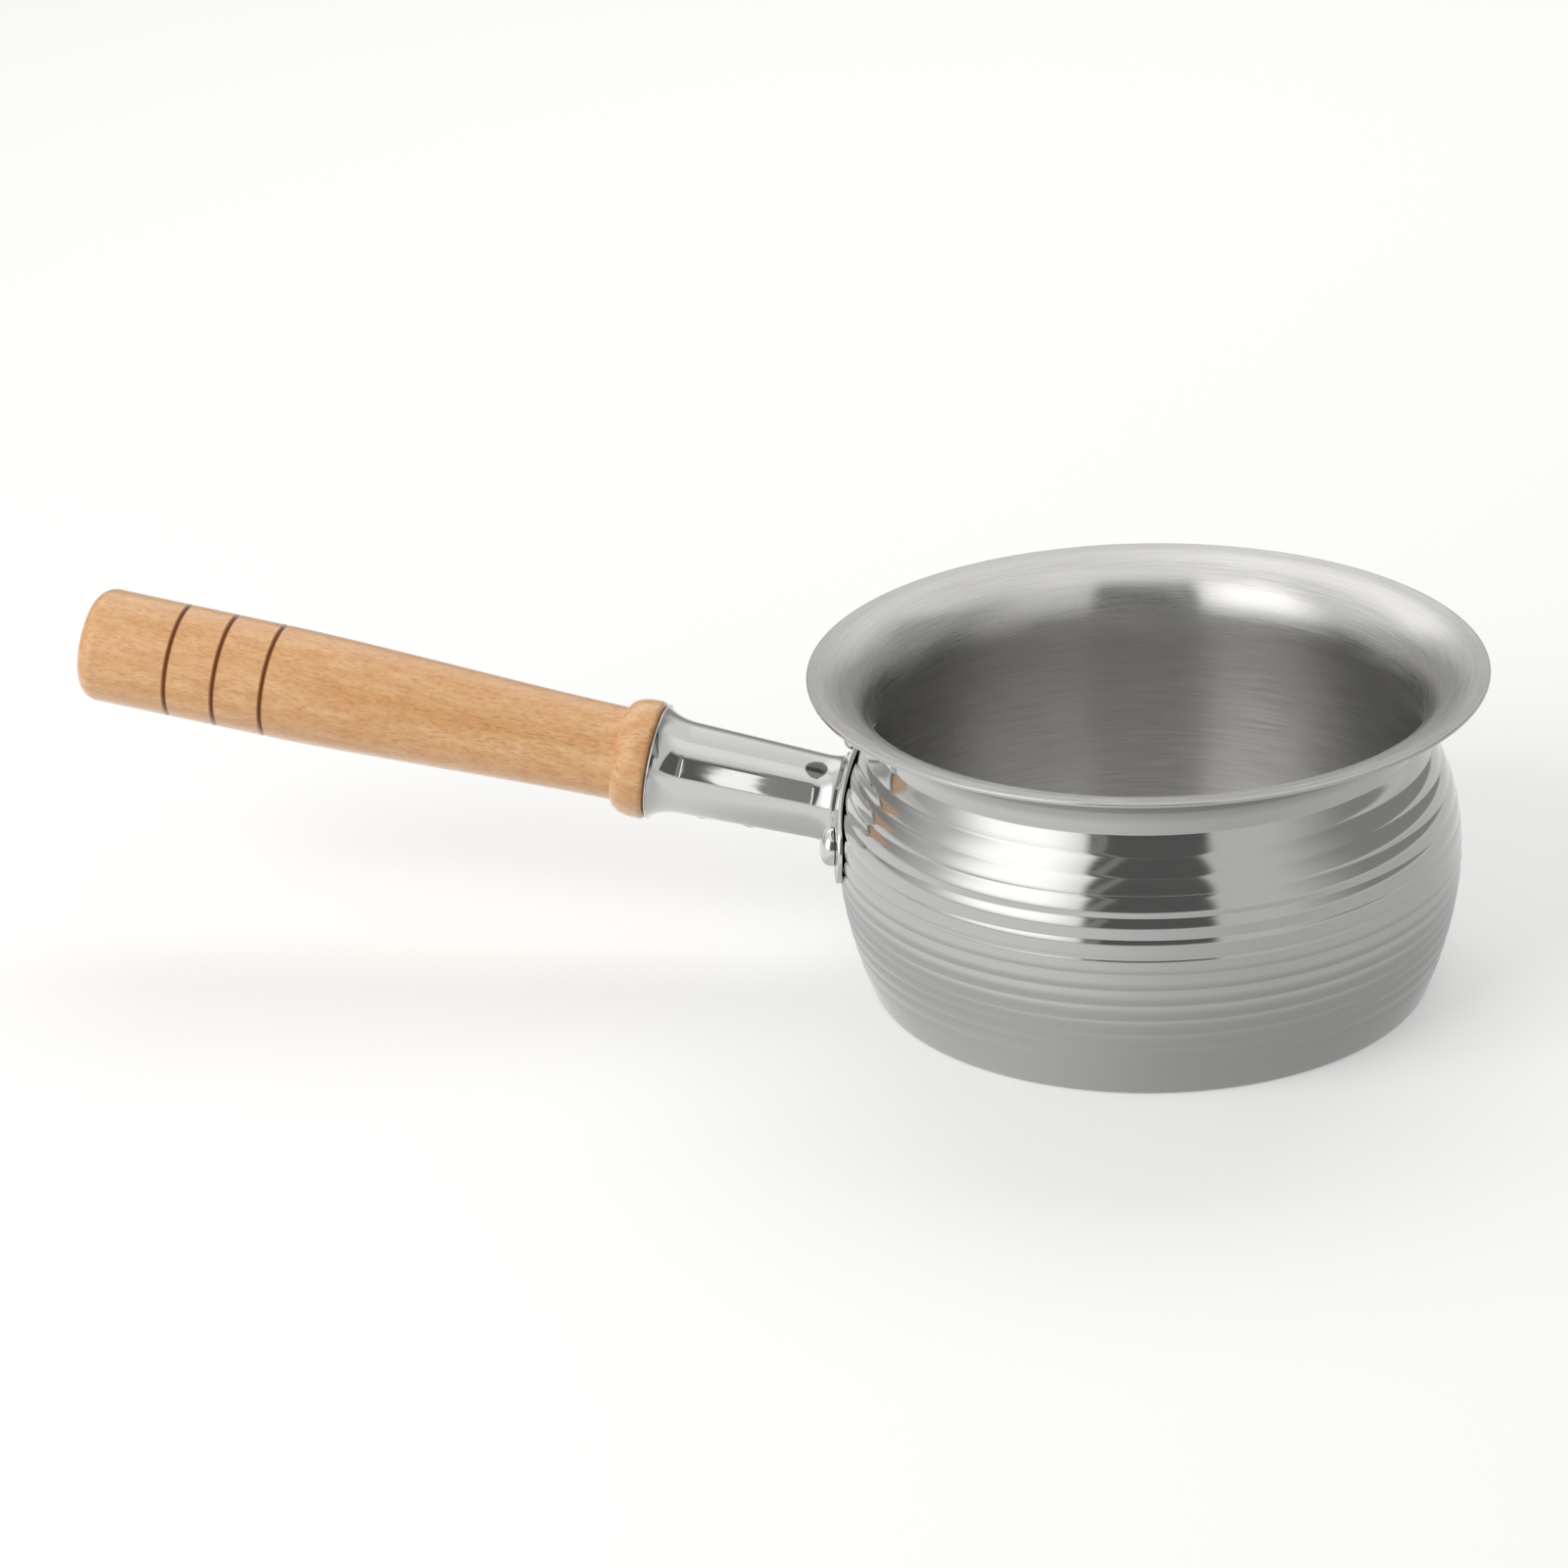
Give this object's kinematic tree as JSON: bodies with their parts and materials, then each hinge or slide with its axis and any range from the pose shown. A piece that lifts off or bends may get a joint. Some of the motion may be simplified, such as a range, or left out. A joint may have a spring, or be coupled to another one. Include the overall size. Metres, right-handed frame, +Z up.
{
  "type": "saucepan",
  "caption": "Bellied saucepan with rolled ribs, a flared rim and a turned wooden handle held in a riveted metal socket.",
  "frame": {"origin": "middle of the flat base, on the surface that the pan stands on", "axes": "+Z up along the pan's axis, the handle points along -X and rises, +Y is across the handle"},
  "size_m": [0.3658, 0.17, 0.0898],
  "materials": {
    "spun_steel": "polished outside with rolled ribs, satin hairline inside",
    "polished_steel": "mirror polished",
    "rivet_steel": "polished dome",
    "screw_steel": "bright zinc plated",
    "lacquered_beech": "turned, satin lacquer"
  },
  "bodies": {
    "root": {"pan_body": "spun_steel", "rivet_plate": "polished_steel", "socket_sleeve": "polished_steel", "handle_grip": "lacquered_beech", "rivet_front": "rivet_steel", "rivet_rear": "rivet_steel", "rivet_top": "rivet_steel", "handle_screw_outer": "screw_steel", "handle_screw_inner": "screw_steel"}
  },
  "joints": []
}
